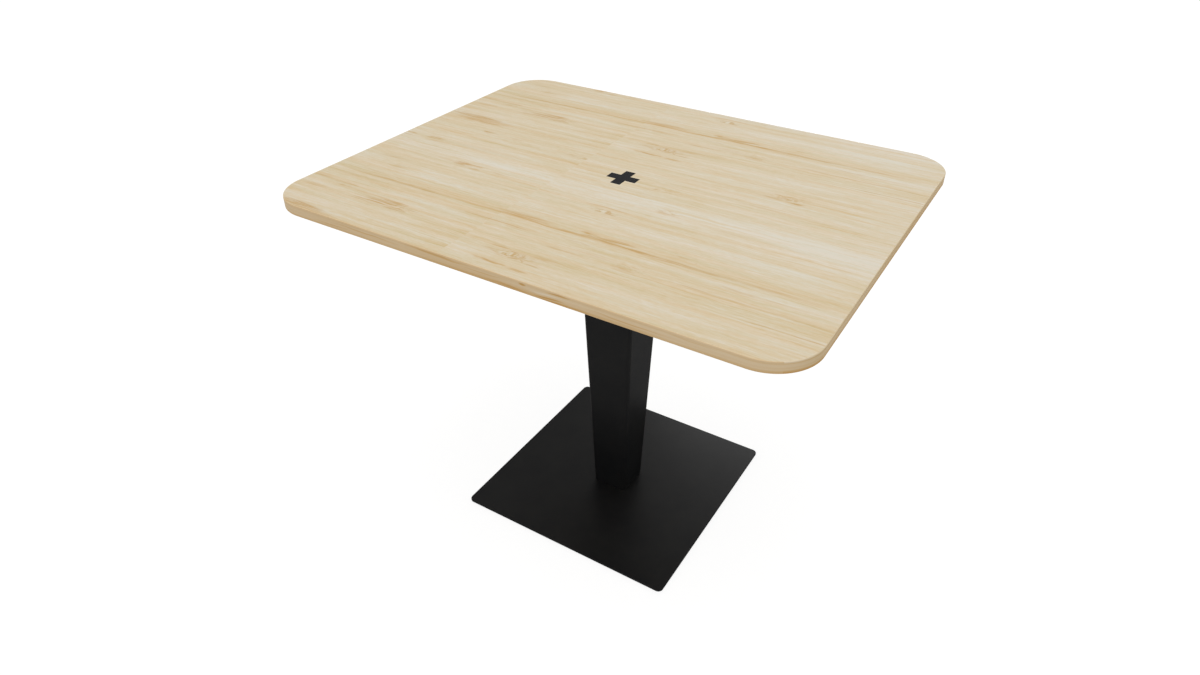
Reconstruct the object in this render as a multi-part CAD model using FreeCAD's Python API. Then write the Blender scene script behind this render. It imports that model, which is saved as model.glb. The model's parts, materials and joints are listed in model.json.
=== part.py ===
import FreeCAD, Part
import math
import os

# Pedestal table with a charging spot let into its top. Sizes are in millimetres.
# The origin is the middle of the footprint on the floor, +Z is up, +X runs along
# the long side of the top, and the power inlet faces +Y.

# Table top
table_height = 750.0
top_length = 1000.0
top_width = 800.0
top_thickness = 20.0
top_corner_radius = 80.0
top_edge_round = 1.5

# Black plus that marks the charging spot, flush in the top
mark_size = 60.0
mark_arm_width = 20.0
mark_thickness = 1.2
mark_gap = 0.1

# Base plate
base_side = 490.0
base_thickness = 5.0
base_corner_radius = 11.0
base_edge_round = 0.8

# Floor pads, each with a stub pressed into the base plate
pad_radius = 14.0
pad_height = 2.0
pad_edge_round = 0.8
pad_edge_distance = 33.0
pad_stub_radius = 4.0
pad_stub_height = 3.0
pad_stub_clearance = 0.1

# Tapered square column
column_bottom_side = 80.0
column_top_side = 128.0
column_corner_radius = 8.0
column_wall = 3.0
weld_gap = 0.1
flange_thickness = 8.0
flange_opening_radius = 35.0
flange_screw_edge = 17.0
foot_block_thickness = 12.0
foot_screw_edge = 13.0

# Steel plate between the column and the table top
plate_side = 320.0
plate_thickness = 5.0
plate_corner_radius = 15.0
plate_edge_round = 0.6
plate_opening_radius = 42.0
plate_screw_edge = 25.0

# Flat-head screws that hold the column to its two plates
column_screw_radius = 4.0
column_screw_head_radius = 8.0
column_screw_length = 16.0
column_screw_socket_width = 5.0
column_screw_socket_depth = 2.6

# Button-head screws, washers and threaded inserts that hold the table top
top_screw_radius = 3.0
top_screw_length = 16.0
top_screw_head_radius = 5.25
top_screw_head_height = 3.3
top_screw_head_round = 2.2
top_screw_socket_width = 4.0
top_screw_socket_depth = 2.0
washer_radius = 6.0
washer_thickness = 1.6
insert_radius = 5.0
insert_length = 13.0
insert_chamfer = 0.5
insert_hole_spare = 0.5

# All screws: radial clearance in their holes, and depth of a flat head below its face
screw_clearance = 0.1
head_recess = 0.2

# Charger housing and cover, in a pocket under the mark
housing_wall = 2.0
housing_inner_radius = 36.3
housing_flange_radius = 49.0
housing_flange_thickness = 2.5
housing_screw_inset = 4.0
pocket_clearance = 0.3
cover_thickness = 2.0
cover_ledge = 1.7
cover_clearance = 0.1

# Charger coil, ferrite sheet, circuit board and components
coil_radius = 22.0
coil_opening_radius = 10.0
coil_thickness = 2.0
ferrite_radius = 24.0
ferrite_thickness = 1.0
board_thickness = 1.6
board_gap = 0.8
board_to_ferrite = 1.2
under_board_clearance = 0.4
post_radius = 3.0
post_inset = 6.3
component_length = 7.0
component_width = 6.0
component_height = 2.4

# Small screws of the charger
board_screw_radius = 1.25
board_screw_length = 4.6
board_screw_head_radius = 2.4
board_screw_head_height = 1.5
board_screw_spare = 0.4
housing_screw_radius = 1.75
housing_screw_head_radius = 3.5
housing_screw_length = 12.0
housing_screw_socket_width = 2.0
housing_screw_socket_depth = 1.2
charger_screw_count = 3

# Lead from the charger to the inlet, and its grommet in the cover
lead_radius = 2.25
lead_clearance = 0.1
lead_leaves_wall = 125.0
lead_turns_up = 45.0
lead_bend_share = 0.45
grommet_neck_radius = 4.0
grommet_collar_radius = 6.0
grommet_collar_height = 1.2

# Clips that hold the lead on the column's inner front wall
clip_base_width = 14.0
clip_base_height = 12.0
clip_base_thickness = 1.5
clip_ring_wall = 1.6
clip_ring_height = 8.0
clip_mouth_width = 3.4
clip_place_shares = (0.2, 0.5, 0.8)

# Power inlet in the column's back wall
inlet_height = 53.0
inlet_flange_radius = 7.0
inlet_flange_thickness = 1.8
inlet_flange_round = 0.6
inlet_barrel_radius = 5.5
inlet_barrel_length = 14.0
inlet_bore_radius = 3.0
inlet_bore_depth = 10.0
inlet_pin_radius = 1.0
inlet_pin_recess = 1.0
inlet_clearance = 0.1
nut_width = 14.0
nut_thickness = 2.5

# How far every cutting shape runs past the face that it cuts
overrun = 5.0

# How near an edge lies to a level to count as lying at it
level_tolerance = 0.001

# Levels
base_bottom_z = pad_height
base_top_z = base_bottom_z + base_thickness
column_bottom_z = base_top_z
top_under_z = table_height - top_thickness
plate_under_z = top_under_z - plate_thickness
column_top_z = plate_under_z

# Levels inside the charger, from its open mouth upwards
cover_top_z = top_under_z + cover_thickness
under_board_space = max(board_screw_head_height, grommet_collar_height) + under_board_clearance
board_bottom_z = cover_top_z + under_board_space
board_top_z = board_bottom_z + board_thickness
ferrite_bottom_z = board_top_z + board_to_ferrite
coil_bottom_z = ferrite_bottom_z + ferrite_thickness
ceiling_z = coil_bottom_z + coil_thickness
housing_top_z = ceiling_z + housing_wall

# Taper of the column: its faces lean outwards by this angle
column_lean = math.atan((column_top_side - column_bottom_side) / 2 / (column_top_z - column_bottom_z))

# Directions
along_x = FreeCAD.Vector(1, 0, 0)
up = FreeCAD.Vector(0, 0, 1)
origin = FreeCAD.Vector(0, 0, 0)


def point(x, y, z):
    return FreeCAD.Vector(x, y, z)


def cylinder(radius, z_low, z_high, x=0, y=0):
    """Upright cylinder between two levels."""
    return Part.makeCylinder(radius, z_high - z_low, point(x, y, z_low))


def block(length, width, z_low, z_high, x=0, y=0):
    """Upright block centred on x, y."""
    corner = point(x - length / 2, y - width / 2, z_low)
    return Part.makeBox(length, width, z_high - z_low, corner)


def hexagon(across_flats, z_low, z_high):
    """Upright hexagonal prism on the Z axis."""
    radius = across_flats / math.sqrt(3)
    corners = []
    for step in range(7):
        angle = math.radians(60 * step)
        corners.append(point(radius * math.cos(angle), radius * math.sin(angle), z_low))
    return Part.Face(Part.makePolygon(corners)).extrude(up * (z_high - z_low))


def rounded_outline(length, width, radius, z):
    """Closed wire of a rectangle with rounded corners, centred on the Z axis."""
    reach_x = length / 2 - radius
    reach_y = width / 2 - radius
    corners = ((reach_x, reach_y), (-reach_x, reach_y), (-reach_x, -reach_y), (reach_x, -reach_y))
    arcs = []
    for number, (x, y) in enumerate(corners):
        start = 90 * number
        arcs.append(Part.makeCircle(radius, point(x, y, z), up, start, start + 90))
    edges = []
    for number, arc in enumerate(arcs):
        following = arcs[(number + 1) % len(arcs)]
        edges.append(arc)
        edges.append(Part.makeLine(arc.Vertexes[-1].Point, following.Vertexes[0].Point))
    return Part.Wire(edges)


def rounded_slab(length, width, corner_radius, z_low, z_high, edge_round):
    """Flat plate with rounded corners and eased upper and lower edges."""
    outline = rounded_outline(length, width, corner_radius, z_low)
    slab = Part.Face(outline).extrude(up * (z_high - z_low))
    return round_rims(slab, edge_round, (z_low, z_high))


def round_rims(shape, radius, levels):
    """Round every edge that lies wholly at one of the levels."""
    rims = []
    for edge in shape.Edges:
        box = edge.BoundBox
        for level in levels:
            if max(abs(box.ZMin - level), abs(box.ZMax - level)) < level_tolerance:
                rims.append(edge)
    return shape.makeFillet(radius, rims)


def square_places(offset):
    """The four corners of a square round the Z axis."""
    return [(x, y) for x in (-offset, offset) for y in (-offset, offset)]


def ring_places(radius, count, first_angle):
    """Evenly spaced places on a circle round the Z axis."""
    places = []
    for number in range(count):
        angle = math.radians(first_angle + 360 * number / count)
        places.append((radius * math.cos(angle), radius * math.sin(angle)))
    return places


def placed(shape, x, y, z, downward=False):
    """Copy of a shape moved to a place, and turned to point down if asked."""
    copy = shape.copy()
    if downward:
        copy.rotate(origin, along_x, 180)
    copy.translate(point(x, y, z))
    return copy


def flat_head_screw(radius, head_radius, length, socket_width, socket_depth):
    """Screw with its flat head's face at z = 0 and its tip towards +Z."""
    head = Part.makeCone(head_radius, radius, head_radius - radius)
    shank = cylinder(radius, 0, length)
    socket = hexagon(socket_width, -overrun, socket_depth)
    return head.fuse(shank).removeSplitter().cut(socket)


def flat_head_hole(radius, head_radius, length):
    """Cutting shape for a flat-head screw, with the same origin as the screw."""
    hole_radius = radius + screw_clearance
    mouth_radius = head_radius + screw_clearance
    cone = Part.makeCone(mouth_radius, hole_radius, mouth_radius - hole_radius)
    mouth = cylinder(mouth_radius, -overrun, 0)
    shaft = cylinder(hole_radius, 0, length + overrun)
    return mouth.fuse([cone, shaft]).removeSplitter()


column_screw = flat_head_screw(
    column_screw_radius, column_screw_head_radius, column_screw_length,
    column_screw_socket_width, column_screw_socket_depth)
column_screw_hole = flat_head_hole(
    column_screw_radius, column_screw_head_radius, column_screw_length)
housing_screw = flat_head_screw(
    housing_screw_radius, housing_screw_head_radius, housing_screw_length,
    housing_screw_socket_width, housing_screw_socket_depth)
housing_screw_hole = flat_head_hole(
    housing_screw_radius, housing_screw_head_radius, housing_screw_length)


def column_side(z):
    """Outer width of the tapered column at a height."""
    rise = (z - column_bottom_z) / (column_top_z - column_bottom_z)
    return column_bottom_side + (column_top_side - column_bottom_side) * rise


def column_prism(z_low, z_high, inset):
    """Tapered square prism whose faces lie inside the column's outer faces."""
    outlines = []
    for z in (z_low, z_high):
        side = column_side(z) - 2 * inset
        outlines.append(rounded_outline(side, side, column_corner_radius - inset, z))
    return Part.makeLoft(outlines, True, True)


# Places of the screws
foot_screw_places = square_places(column_bottom_side / 2 - column_wall - foot_screw_edge)
flange_screw_places = square_places(column_top_side / 2 - column_wall - flange_screw_edge)
plate_screw_reach = plate_side / 2 - plate_screw_edge
plate_screw_places = square_places(plate_screw_reach) + ring_places(plate_screw_reach, 4, 0)
housing_screw_places = ring_places(
    housing_flange_radius - housing_screw_inset, charger_screw_count, 30)
post_places = ring_places(housing_inner_radius - post_inset, charger_screw_count, 90)
pad_places = {
    "floor_pad_front_left": (-1, -1),
    "floor_pad_front_right": (1, -1),
    "floor_pad_back_left": (-1, 1),
    "floor_pad_back_right": (1, 1),
}
pad_reach = base_side / 2 - pad_edge_distance


def plus_shape(size, arm_width, z_low, z_high):
    """Upright plus with equal arms."""
    along = block(size, arm_width, z_low, z_high)
    across = block(arm_width, size, z_low, z_high)
    return along.fuse(across).removeSplitter()


def make_table_top():
    board = rounded_slab(
        top_length, top_width, top_corner_radius, top_under_z, table_height, top_edge_round)
    mark_seat = plus_shape(
        mark_size + 2 * mark_gap, mark_arm_width + 2 * mark_gap,
        table_height - mark_thickness, table_height + overrun)
    rebate = cylinder(
        housing_flange_radius + pocket_clearance,
        top_under_z - overrun, top_under_z + housing_flange_thickness)
    pocket = cylinder(
        housing_inner_radius + housing_wall + pocket_clearance,
        top_under_z - overrun, housing_top_z + pocket_clearance)
    cuts = [mark_seat, rebate, pocket]
    for x, y in plate_screw_places:
        depth = insert_length + insert_hole_spare
        cuts.append(cylinder(
            insert_radius + screw_clearance, top_under_z - overrun, top_under_z + depth, x, y))
    for x, y in housing_screw_places:
        tip_z = top_under_z + head_recess + housing_screw_length + screw_clearance
        cuts.append(cylinder(
            housing_screw_radius + screw_clearance, top_under_z, tip_z, x, y))
    return board.cut(cuts)


def make_charging_mark():
    return plus_shape(mark_size, mark_arm_width, table_height - mark_thickness, table_height)


def make_top_plate():
    plate = rounded_slab(
        plate_side, plate_side, plate_corner_radius, plate_under_z, top_under_z, plate_edge_round)
    cuts = [cylinder(plate_opening_radius, plate_under_z - overrun, top_under_z + overrun)]
    for x, y in plate_screw_places:
        cuts.append(cylinder(
            top_screw_radius + 2 * screw_clearance,
            plate_under_z - overrun, top_under_z + overrun, x, y))
    for x, y in flange_screw_places:
        cuts.append(placed(column_screw_hole, x, y, top_under_z - head_recess, downward=True))
    return plate.cut(cuts)


def make_threaded_inserts():
    sleeve = cylinder(insert_radius, 0, insert_length)
    sleeve = sleeve.makeChamfer(insert_chamfer, [e for e in sleeve.Edges if e.Closed])
    sleeve = sleeve.cut(cylinder(top_screw_radius + screw_clearance, -overrun, insert_length + overrun))
    return [placed(sleeve, x, y, top_under_z) for x, y in plate_screw_places]


def make_top_screws():
    head = cylinder(top_screw_head_radius, 0, top_screw_head_height)
    head = round_rims(head, top_screw_head_round, (0,))
    shank = cylinder(top_screw_radius, 0, top_screw_head_height + top_screw_length)
    socket = hexagon(top_screw_socket_width, -overrun, top_screw_socket_depth)
    screw = head.fuse(shank).removeSplitter().cut(socket)
    head_z = plate_under_z - washer_thickness - top_screw_head_height
    return [placed(screw, x, y, head_z) for x, y in plate_screw_places]


def make_top_washers():
    washer = cylinder(washer_radius, plate_under_z - washer_thickness, plate_under_z)
    hole = cylinder(
        top_screw_radius + 2 * screw_clearance,
        plate_under_z - washer_thickness - overrun, plate_under_z + overrun)
    washer = washer.cut(hole)
    return [placed(washer, x, y, 0) for x, y in plate_screw_places]


def make_column_shell():
    outside = column_prism(column_bottom_z, column_top_z, 0)
    inside = column_prism(column_bottom_z - overrun, column_top_z + overrun, column_wall)
    inlet_hole = cylinder(
        inlet_barrel_radius + inlet_clearance, -column_wall - overrun, overrun)
    return outside.cut([inside, on_inlet(inlet_hole)])


def make_column_top_flange():
    flange = column_prism(column_top_z - flange_thickness, column_top_z, column_wall + weld_gap)
    cuts = [cylinder(
        flange_opening_radius, column_top_z - flange_thickness - overrun, column_top_z + overrun)]
    for x, y in flange_screw_places:
        cuts.append(placed(column_screw_hole, x, y, top_under_z - head_recess, downward=True))
    return flange.cut(cuts)


def make_flange_screws():
    return [placed(column_screw, x, y, top_under_z - head_recess, downward=True)
            for x, y in flange_screw_places]


def make_column_foot_block():
    foot = column_prism(
        column_bottom_z, column_bottom_z + foot_block_thickness, column_wall + weld_gap)
    return foot.cut([placed(column_screw_hole, x, y, base_bottom_z + head_recess)
                     for x, y in foot_screw_places])


def make_foot_screws():
    return [placed(column_screw, x, y, base_bottom_z + head_recess) for x, y in foot_screw_places]


def make_base_plate():
    plate = rounded_slab(
        base_side, base_side, base_corner_radius, base_bottom_z, base_top_z, base_edge_round)
    cuts = [placed(column_screw_hole, x, y, base_bottom_z + head_recess)
            for x, y in foot_screw_places]
    for side_x, side_y in pad_places.values():
        cuts.append(cylinder(
            pad_stub_radius + pad_stub_clearance,
            base_bottom_z - overrun, base_bottom_z + pad_stub_height + pad_stub_clearance,
            side_x * pad_reach, side_y * pad_reach))
    return plate.cut(cuts)


def make_floor_pad(side_x, side_y):
    disc = round_rims(cylinder(pad_radius, 0, pad_height), pad_edge_round, (0,))
    stub = cylinder(pad_stub_radius, 0, pad_height + pad_stub_height)
    return placed(disc.fuse(stub).removeSplitter(), side_x * pad_reach, side_y * pad_reach, 0)


def make_charger_housing():
    cup = cylinder(housing_inner_radius + housing_wall, top_under_z, housing_top_z)
    flange = cylinder(
        housing_flange_radius, top_under_z, top_under_z + housing_flange_thickness)
    housing = cup.fuse(flange).removeSplitter()
    hollow = cylinder(housing_inner_radius, top_under_z - overrun, ceiling_z)
    cover_seat = cylinder(
        housing_inner_radius + cover_ledge, top_under_z - overrun, cover_top_z)
    holes = [placed(housing_screw_hole, x, y, top_under_z + head_recess)
             for x, y in housing_screw_places]
    housing = housing.cut([hollow, cover_seat] + holes)
    posts = [cylinder(post_radius, board_top_z, housing_top_z, x, y) for x, y in post_places]
    housing = housing.fuse(posts).removeSplitter()
    tip_z = board_bottom_z + board_screw_length + board_screw_spare
    return housing.cut([
        cylinder(board_screw_radius + screw_clearance, board_bottom_z, tip_z, x, y)
        for x, y in post_places])


def make_charger_cover():
    cover = cylinder(
        housing_inner_radius + cover_ledge - cover_clearance, top_under_z, cover_top_z)
    hole = cylinder(
        grommet_neck_radius + lead_clearance, top_under_z - overrun, cover_top_z + overrun)
    return cover.cut(hole)


def make_charger_coil():
    ring = cylinder(coil_radius, coil_bottom_z, ceiling_z)
    return ring.cut(cylinder(coil_opening_radius, coil_bottom_z - overrun, ceiling_z + overrun))


def make_charger_ferrite():
    return cylinder(ferrite_radius, ferrite_bottom_z, coil_bottom_z)


def make_charger_circuit_board():
    board = cylinder(housing_inner_radius - board_gap, board_bottom_z, board_top_z)
    return board.cut([
        cylinder(board_screw_radius + screw_clearance,
                 board_bottom_z - overrun, board_top_z + overrun, x, y)
        for x, y in post_places])


def make_board_components():
    """Packages soldered on the board's upper face, between the posts."""
    parts = []
    for number, (x, y) in enumerate(ring_places(
            housing_inner_radius - post_inset, charger_screw_count, 30)):
        part = block(component_length, component_width, board_top_z, board_top_z + component_height)
        part.rotate(origin, up, 30 + 120 * number)
        parts.append(placed(part, x, y, 0))
    return parts


def make_board_screws():
    head = cylinder(board_screw_head_radius, -board_screw_head_height, 0)
    shank = cylinder(board_screw_radius, -board_screw_head_height, board_screw_length)
    screw = head.fuse(shank).removeSplitter()
    return [placed(screw, x, y, board_bottom_z) for x, y in post_places]


def make_housing_screws():
    return [placed(housing_screw, x, y, top_under_z + head_recess)
            for x, y in housing_screw_places]


def make_lead_grommet():
    """Rubber ring round the lead, with a collar on each side of the cover."""
    lower = cylinder(grommet_collar_radius, top_under_z - grommet_collar_height, top_under_z)
    neck = cylinder(grommet_neck_radius, top_under_z, cover_top_z)
    upper = cylinder(grommet_collar_radius, cover_top_z, cover_top_z + grommet_collar_height)
    bore = cylinder(lead_radius + lead_clearance, top_under_z - overrun * 2, cover_top_z + overrun)
    return neck.fuse([lower, upper]).removeSplitter().cut(bore)


# Inlet's own frame: +Z points out of the back wall, square to it, from its outer face
inlet_z = base_top_z + inlet_height
inlet_place = point(0, column_side(inlet_z) / 2, inlet_z)
inlet_outwards = point(0, math.cos(column_lean), -math.sin(column_lean))
wall_across = column_wall * math.cos(column_lean)


def on_inlet(shape):
    """Copy of a shape moved from the inlet's own frame to its place in the back wall."""
    copy = shape.copy()
    copy.Placement = FreeCAD.Placement(inlet_place, FreeCAD.Rotation(up, inlet_outwards))
    return copy


def make_power_inlet():
    flange = round_rims(
        cylinder(inlet_flange_radius, 0, inlet_flange_thickness),
        inlet_flange_round, (inlet_flange_thickness,))
    barrel = cylinder(inlet_barrel_radius, -inlet_barrel_length, inlet_flange_thickness)
    bore_bottom = inlet_flange_thickness - inlet_bore_depth
    bore = cylinder(inlet_bore_radius, bore_bottom, inlet_flange_thickness + overrun)
    return on_inlet(barrel.fuse(flange).removeSplitter().cut(bore))


def make_inlet_pin():
    bore_bottom = inlet_flange_thickness - inlet_bore_depth
    tip = inlet_flange_thickness - inlet_pin_recess
    pin = cylinder(inlet_pin_radius, bore_bottom, tip)
    return on_inlet(round_rims(pin, inlet_pin_radius / 2, (tip,)))


def make_inlet_nut():
    nut = hexagon(nut_width, -wall_across - nut_thickness, -wall_across)
    hole = cylinder(
        inlet_barrel_radius + inlet_clearance, -wall_across - nut_thickness - overrun, 0)
    return on_inlet(nut.cut(hole))


# Line of the lead, in the plane x = 0: out of the inlet's back, up along the inner front
# wall, and back to the middle below the charger
lead_from_wall = clip_base_thickness + clip_ring_wall + lead_clearance + lead_radius


def beside_front_wall(z):
    """Place of the lead's axis at a height where it follows the front wall."""
    return point(0, column_wall + lead_from_wall / math.cos(column_lean) - column_side(z) / 2, z)


lead_start = inlet_place - inlet_outwards * inlet_barrel_length
lead_low_z = lead_start.z + (lead_start.y - beside_front_wall(lead_start.z).y) * math.tan(column_lean)
lead_low = beside_front_wall(lead_low_z)
lead_high = beside_front_wall(column_top_z - lead_leaves_wall)
lead_points = (
    lead_start,
    lead_low,
    lead_high,
    point(0, 0, column_top_z - lead_turns_up),
    point(0, 0, board_bottom_z),
)


def rounded_path(points, bend_share):
    """Wire of straight runs joined by tangent arcs, each as large as its two runs allow."""
    edges = []
    radii = []
    reached = points[0]
    for before, corner, after in zip(points, points[1:], points[2:]):
        back = before - corner
        ahead = after - corner
        tangent = bend_share * min(back.Length, ahead.Length)
        half_turn = (math.pi - back.getAngle(ahead)) / 2
        radius = tangent / math.tan(half_turn)
        back.normalize()
        ahead.normalize()
        arc_start = corner + back * tangent
        arc_end = corner + ahead * tangent
        inward = back + ahead
        inward.normalize()
        arc_middle = corner + inward * (radius / math.cos(half_turn) - radius)
        edges.append(Part.makeLine(reached, arc_start))
        edges.append(Part.Arc(arc_start, arc_middle, arc_end).toShape())
        radii.append(radius)
        reached = arc_end
    edges.append(Part.makeLine(reached, points[-1]))
    return Part.Wire(edges), radii


def make_charger_lead():
    path, radii = rounded_path(lead_points, lead_bend_share)
    section = Part.Wire(Part.makeCircle(lead_radius, lead_start, inlet_outwards))
    lead = path.makePipeShell([section], True, False)
    expected = math.pi * lead_radius ** 2 * path.Length
    print("lead length %.1f, bend radii %s, volume ratio %.5f" % (
        path.Length, [round(radius, 1) for radius in radii], lead.Volume / expected))
    return lead


def make_lead_clips():
    """Clips in line with the leaning wall, each with its mouth away from the wall."""
    ring_radius = lead_radius + lead_clearance + clip_ring_wall
    base = block(
        clip_base_width, clip_base_thickness, -clip_base_height / 2, clip_base_height / 2,
        0, clip_base_thickness / 2)
    web = block(
        2 * ring_radius, lead_from_wall, -clip_ring_height / 2, clip_ring_height / 2,
        0, lead_from_wall / 2)
    ring = cylinder(ring_radius, -clip_ring_height / 2, clip_ring_height / 2, 0, lead_from_wall)
    bore = cylinder(
        lead_radius + lead_clearance, -clip_ring_height / 2 - overrun,
        clip_ring_height / 2 + overrun, 0, lead_from_wall)
    mouth = block(
        clip_mouth_width, ring_radius + overrun, -clip_ring_height / 2 - overrun,
        clip_ring_height / 2 + overrun, 0, lead_from_wall + (ring_radius + overrun) / 2)
    clip = base.fuse([web, ring]).removeSplitter().cut([bore, mouth])
    clip.rotate(origin, along_x, math.degrees(column_lean))
    clips = []
    for share in clip_place_shares:
        on_lead = lead_low + (lead_high - lead_low) * share
        to_wall = point(0, -math.cos(column_lean), -math.sin(column_lean)) * lead_from_wall
        seat = on_lead + to_wall
        clips.append(placed(clip, seat.x, seat.y, seat.z))
    return clips


shapes = {
    "table_top": make_table_top(),
    "charging_mark": make_charging_mark(),
    "top_plate": make_top_plate(),
    "threaded_inserts": make_threaded_inserts(),
    "top_screws": make_top_screws(),
    "top_washers": make_top_washers(),
    "column_shell": make_column_shell(),
    "column_top_flange": make_column_top_flange(),
    "flange_screws": make_flange_screws(),
    "column_foot_block": make_column_foot_block(),
    "foot_screws": make_foot_screws(),
    "base_plate": make_base_plate(),
    "charger_housing": make_charger_housing(),
    "charger_cover": make_charger_cover(),
    "charger_coil": make_charger_coil(),
    "charger_ferrite": make_charger_ferrite(),
    "charger_circuit_board": make_charger_circuit_board(),
    "board_components": make_board_components(),
    "board_screws": make_board_screws(),
    "housing_screws": make_housing_screws(),
    "lead_grommet": make_lead_grommet(),
    "charger_lead": make_charger_lead(),
    "lead_clips": make_lead_clips(),
    "power_inlet": make_power_inlet(),
    "inlet_pin": make_inlet_pin(),
    "inlet_nut": make_inlet_nut(),
}
for name, (side_x, side_y) in pad_places.items():
    shapes[name] = make_floor_pad(side_x, side_y)

os.makedirs("parts", exist_ok=True)
for name, shape in shapes.items():
    if isinstance(shape, list):
        shape = Part.makeCompound(shape)
    shape.exportStep("parts/" + name + ".step")
    print(name, "solids", len(shape.Solids), "valid", shape.isValid())
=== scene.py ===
import json
import math

import bpy
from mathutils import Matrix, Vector


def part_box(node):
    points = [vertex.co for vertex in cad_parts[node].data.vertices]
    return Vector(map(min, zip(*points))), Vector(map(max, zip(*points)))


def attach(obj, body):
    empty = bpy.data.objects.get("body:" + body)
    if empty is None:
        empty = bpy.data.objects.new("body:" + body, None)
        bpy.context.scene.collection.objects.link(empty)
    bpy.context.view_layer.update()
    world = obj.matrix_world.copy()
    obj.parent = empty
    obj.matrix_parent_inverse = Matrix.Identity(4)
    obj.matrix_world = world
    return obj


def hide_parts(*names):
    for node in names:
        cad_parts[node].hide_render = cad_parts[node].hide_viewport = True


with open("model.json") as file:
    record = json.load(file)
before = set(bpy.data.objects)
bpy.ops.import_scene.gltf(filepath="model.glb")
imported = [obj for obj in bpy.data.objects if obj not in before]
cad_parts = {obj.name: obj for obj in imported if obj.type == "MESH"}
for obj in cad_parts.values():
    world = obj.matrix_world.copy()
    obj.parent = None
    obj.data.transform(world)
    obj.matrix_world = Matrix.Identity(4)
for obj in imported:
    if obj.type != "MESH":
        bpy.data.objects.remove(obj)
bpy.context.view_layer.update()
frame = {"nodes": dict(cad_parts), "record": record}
cadNodes = frame["nodes"]
print("frame loaded:", len(cadNodes), "nodes")


# Helpers for modelling

modelling = {
    "closeBy": 1e-5,  # m, places nearer than this are the same
    "aligned": 0.01,  # parts of a normal that differ by less are the same
    "flat": 0.9,  # a face lies flat when its normal has more than this along Z
    "weld": 2e-6,  # m, corners nearer than this become one after a cut
    "smoothAngle": 35.0,  # degrees, edges that turn more than this stay sharp
}


def deselect():
    bpy.ops.object.select_all(action="DESELECT")


def activate(piece):
    deselect()
    piece.select_set(True)
    bpy.context.view_layer.objects.active = piece


def settle(name):
    # Names the new primitive and puts its place and size into its mesh
    piece = bpy.context.object
    piece.name = name
    piece.data.name = name
    bpy.ops.object.transform_apply(location=True, rotation=True, scale=True)
    return piece


def addBlock(name, low, high):
    low, high = Vector(low), Vector(high)
    deselect()
    bpy.ops.mesh.primitive_cube_add(size=1, location=(low + high) / 2)
    bpy.context.object.scale = high - low
    return settle(name)


def addCylinder(name, radius, start, end, x=0.0, y=0.0, sides=64):
    deselect()
    bpy.ops.mesh.primitive_cylinder_add(
        vertices=sides, radius=radius, depth=abs(end - start), location=(x, y, (start + end) / 2))
    return settle(name)


def same(first, second, reach=modelling["closeBy"]):
    return abs(first - second) < reach


def pick(piece, kind, test):
    # Selects the edges or faces that pass the test, and stays in edit mode
    activate(piece)
    bpy.ops.object.mode_set(mode="EDIT")
    bpy.ops.mesh.select_mode(type=kind)
    bpy.ops.mesh.select_all(action="DESELECT")
    bpy.ops.object.mode_set(mode="OBJECT")
    mesh = piece.data
    if kind == "FACE":
        for face in mesh.polygons:
            face.select = test(face)
    else:
        for edge in mesh.edges:
            edge.select = test(*(mesh.vertices[corner].co for corner in edge.vertices))
    bpy.ops.object.mode_set(mode="EDIT")


def leaveEditing():
    bpy.ops.object.mode_set(mode="OBJECT")


def roundedPlate(name, low, high, s):
    # Flat plate: the upright corners are rounded first, then both rims
    plate = addBlock(name, low, high)
    pick(plate, "EDGE", lambda a, b: not same(a.z, b.z))
    bpy.ops.mesh.bevel(offset=s["cornerRadius"], segments=s["cornerSteps"], affect="EDGES")
    leaveEditing()
    pick(plate, "EDGE", lambda a, b: same(a.z, b.z))
    bpy.ops.mesh.bevel(offset=s["edgeRound"], segments=s["edgeSteps"], affect="EDGES")
    leaveEditing()
    return plate


def turnedSolid(name, x, y, profile, sides=48):
    # Turned on an upright axis: profile holds (level, radius) from one end to the other
    (start, firstRadius), (level, radius) = profile[:2]
    solid = addCylinder(name, firstRadius, start, level, x, y, sides)
    outwards = math.copysign(1, level - start)
    pick(solid, "FACE", lambda face: face.normal.z * outwards > modelling["flat"])
    growth = radius / firstRadius
    bpy.ops.transform.resize(value=(growth, growth, 1), center_override=(x, y, level))
    for nextLevel, nextRadius in profile[2:]:
        growth = nextRadius / radius
        bpy.ops.mesh.extrude_region_move(TRANSFORM_OT_translate={"value": (0, 0, nextLevel - level)})
        bpy.ops.transform.resize(value=(growth, growth, 1), center_override=(x, y, nextLevel))
        level, radius = nextLevel, nextRadius
    leaveEditing()
    return solid


def cutAway(piece, cutter):
    cut = piece.modifiers.new("cut", "BOOLEAN")
    cut.operation = "DIFFERENCE"
    cut.solver = "EXACT"
    cut.object = cutter
    activate(piece)
    bpy.ops.object.modifier_apply(modifier=cut.name)
    bpy.data.objects.remove(cutter, do_unlink=True)
    # A cut can leave doubled corners with slivers between them
    bpy.ops.object.mode_set(mode="EDIT")
    bpy.ops.mesh.select_all(action="SELECT")
    bpy.ops.mesh.remove_doubles(threshold=modelling["weld"])
    bpy.ops.mesh.dissolve_degenerate(threshold=modelling["weld"])
    leaveEditing()


def smoothShading(piece):
    activate(piece)
    bpy.ops.object.shade_smooth_by_angle(angle=math.radians(modelling["smoothAngle"]))
    piece.modifiers.new("normals", "WEIGHTED_NORMAL").keep_sharp = True
    bpy.ops.object.modifier_apply(modifier="normals")


def squarePlaces(*steps):
    # Places on a square grid around the middle, without the middle itself
    return [(x, y) for x in steps for y in steps if (x, y) != (0, 0)]


# Helpers for materials

mmPerMetre = 1000
noiseLow, noiseHigh = 0.3, 0.7  # most of a noise lies between these
toneSteps = (-85, -55, -30, -12, 0, 12, 30)  # a ramp of tones is exact at these
ovalCore = 0.15  # share of a soft oval, from its middle, that has full strength


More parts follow.
